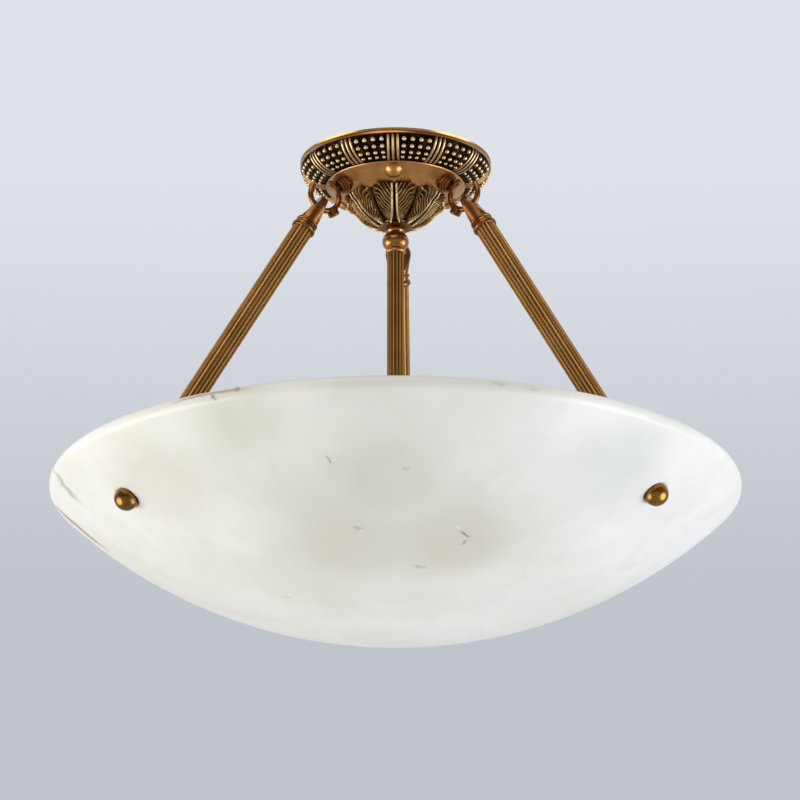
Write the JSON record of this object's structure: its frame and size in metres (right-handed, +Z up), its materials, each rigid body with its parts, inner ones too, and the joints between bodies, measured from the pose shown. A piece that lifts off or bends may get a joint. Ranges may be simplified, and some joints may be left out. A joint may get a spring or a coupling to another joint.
{
  "type": "alabaster bowl ceiling light",
  "caption": "Shallow alabaster bowl hung on fluted brass arms from ring hooks under a cast canopy, with a fluted centre stem and a lamp cluster inside.",
  "frame": {"origin": "centre of the ceiling bracket's top face, on the ceiling plane", "axes": "+Z up along the stem, +Y away from the viewer of the picture, +X to the viewer's right"},
  "size_m": [0.4999, 0.5, 0.36],
  "materials": {
    "antique_cast_brass": "cast, darkened in the recesses and rubbed bright on the raised parts",
    "brushed_bronze_brass": "turned and brushed, antique lacquer",
    "polished_brass": "polished, warm lacquer",
    "alabaster": "turned, satin polish, clouded with brown and grey veins",
    "zinc_plated_steel": "zinc plated",
    "white_nylon": "moulded",
    "soft_rubber": "cut sheet",
    "ivory_porcelain": "glazed",
    "nickel_plated_brass": "nickel plated",
    "opal_glass": "blown opal, satin"
  },
  "bodies": {
    "canopy_and_stem": {"ceiling_bracket": "zinc_plated_steel", "terminal_block": "white_nylon", "canopy_flange": "antique_cast_brass", "canopy_dish": "brushed_bronze_brass", "canopy_screws": "polished_brass", "acanthus_cup": "antique_cast_brass", "stem_nipple": "zinc_plated_steel", "stem_washer": "zinc_plated_steel", "stem_lock_nut": "zinc_plated_steel", "stem_ball": "polished_brass", "stem_collar": "brushed_bronze_brass", "stem_tube": "brushed_bronze_brass", "hook_saddles": "zinc_plated_steel", "hook_nuts": "zinc_plated_steel", "lower_nipple": "zinc_plated_steel", "cluster_body": "brushed_bronze_brass", "cluster_lock_nut": "zinc_plated_steel", "cluster_cover": "brushed_bronze_brass", "cluster_knob": "polished_brass", "lampholder_nuts": "zinc_plated_steel", "hook_boss_back": "polished_brass", "hook_back": "polished_brass", "hook_boss_left": "polished_brass", "hook_left": "polished_brass", "hook_boss_right": "polished_brass", "hook_right": "polished_brass", "lampholder_right": "ivory_porcelain", "lampholder_left": "ivory_porcelain", "lampholder_front": "ivory_porcelain"},
    "bowl_hanger": {"foot_washers": "soft_rubber", "finial_washers": "soft_rubber", "alabaster_bowl": "alabaster", "ferrule_back": "brushed_bronze_brass", "arm_tube_back": "brushed_bronze_brass", "arm_rod_back": "zinc_plated_steel", "arm_foot_back": "brushed_bronze_brass", "ferrule_left": "brushed_bronze_brass", "arm_tube_left": "brushed_bronze_brass", "arm_rod_left": "zinc_plated_steel", "arm_foot_left": "brushed_bronze_brass", "ferrule_right": "brushed_bronze_brass", "arm_tube_right": "brushed_bronze_brass", "arm_rod_right": "zinc_plated_steel", "arm_foot_right": "brushed_bronze_brass"},
    "finial_back": {"finial_back": "polished_brass"},
    "finial_left": {"finial_left": "polished_brass"},
    "finial_right": {"finial_right": "polished_brass"},
    "bulb_right": {"bulb_glass_right": "opal_glass", "bulb_cap_right": "nickel_plated_brass"},
    "bulb_left": {"bulb_glass_left": "opal_glass", "bulb_cap_left": "nickel_plated_brass"},
    "bulb_front": {"bulb_glass_front": "opal_glass", "bulb_cap_front": "nickel_plated_brass"}
  },
  "joints": [
    {"name": "bowl_hanger_play", "type": "hinge", "parent": "canopy_and_stem", "child": "bowl_hanger", "pos_m": [0, 0, -0.03665], "axis": [0, 0, 1], "range_deg": [-0.5, 0.5]},
    {"name": "finial_back_unscrew", "type": "hinge", "parent": "bowl_hanger", "child": "finial_back", "pos_m": [0, 0.05917, -0.03665], "axis": [0, 0.515, -0.8572], "range_deg": [0, 1800]},
    {"name": "finial_left_unscrew", "type": "hinge", "parent": "bowl_hanger", "child": "finial_left", "pos_m": [-0.05124, -0.02959, -0.03665], "axis": [-0.446, -0.2575, -0.8572], "range_deg": [0, 1800]},
    {"name": "finial_right_unscrew", "type": "hinge", "parent": "bowl_hanger", "child": "finial_right", "pos_m": [0.05124, -0.02959, -0.03665], "axis": [0.446, -0.2575, -0.8572], "range_deg": [0, 1800]},
    {"name": "bulb_right_unscrew", "type": "hinge", "parent": "canopy_and_stem", "child": "bulb_right", "pos_m": [0, 0, -0.2776], "axis": [0.866, 0.5, 0], "range_deg": [0, 1080]},
    {"name": "bulb_left_unscrew", "type": "hinge", "parent": "canopy_and_stem", "child": "bulb_left", "pos_m": [0, 0, -0.2776], "axis": [-0.866, 0.5, 0], "range_deg": [0, 1080]},
    {"name": "bulb_front_unscrew", "type": "hinge", "parent": "canopy_and_stem", "child": "bulb_front", "pos_m": [0, 0, -0.2776], "axis": [0, -1, 0], "range_deg": [0, 1080]}
  ]
}
